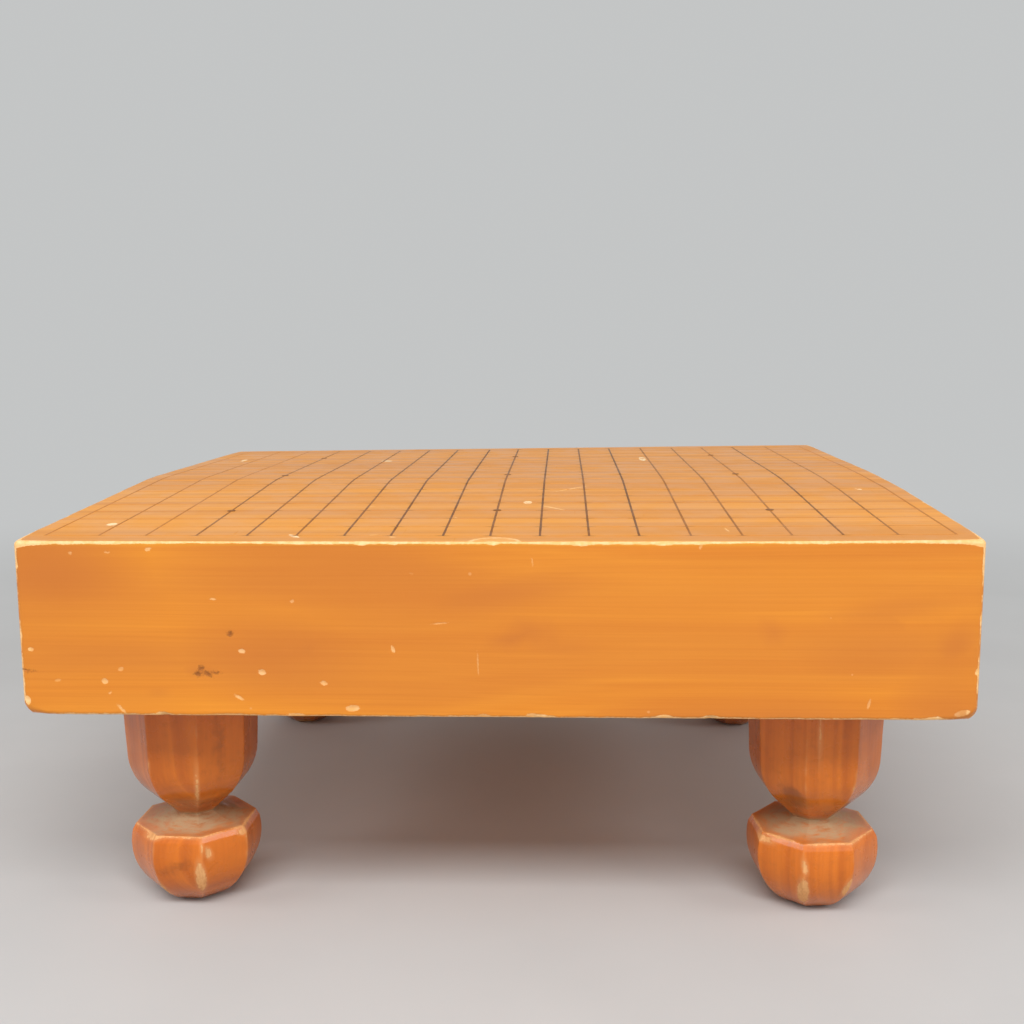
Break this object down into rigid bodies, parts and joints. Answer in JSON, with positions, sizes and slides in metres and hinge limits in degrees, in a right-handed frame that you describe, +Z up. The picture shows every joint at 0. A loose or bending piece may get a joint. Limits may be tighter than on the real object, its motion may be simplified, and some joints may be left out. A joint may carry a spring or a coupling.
{
  "type": "legged go board",
  "caption": "Solid wooden go board with a lacquered grid on its gently crowned top, standing on carved octagonal gardenia-bud legs that plug into blind mortises.",
  "frame": {"origin": "on the floor, under the middle of the board", "axes": "+Z up; +X along the long side and the grain of the block, to the right of a player who sits on the -Y side; +Y away from that player"},
  "size_m": [0.4544, 0.4242, 0.2087],
  "materials": {
    "board_wood": "amber varnish over quarter-sawn softwood, gloss worn at the edges",
    "leg_wood": "red-brown varnish over carved wood, rubbed bare on the ridges",
    "line_lacquer": "dark brown brushed lacquer, raised and partly worn"
  },
  "bodies": {
    "block": {"board": "board_wood", "grid_lines": "line_lacquer", "star_points": "line_lacquer"},
    "front_left_leg": {"front_left_leg": "leg_wood"},
    "front_right_leg": {"front_right_leg": "leg_wood"},
    "rear_left_leg": {"rear_left_leg": "leg_wood"},
    "rear_right_leg": {"rear_right_leg": "leg_wood"}
  },
  "joints": [
    {"name": "front_left_leg_pull", "type": "slide", "parent": "block", "child": "front_left_leg", "axis": [0, 0, -1], "range_m": [0, 0.035]},
    {"name": "front_right_leg_pull", "type": "slide", "parent": "block", "child": "front_right_leg", "axis": [0, 0, -1], "range_m": [0, 0.035]},
    {"name": "rear_left_leg_pull", "type": "slide", "parent": "block", "child": "rear_left_leg", "axis": [0, 0, -1], "range_m": [0, 0.035]},
    {"name": "rear_right_leg_pull", "type": "slide", "parent": "block", "child": "rear_right_leg", "axis": [0, 0, -1], "range_m": [0, 0.035]}
  ]
}
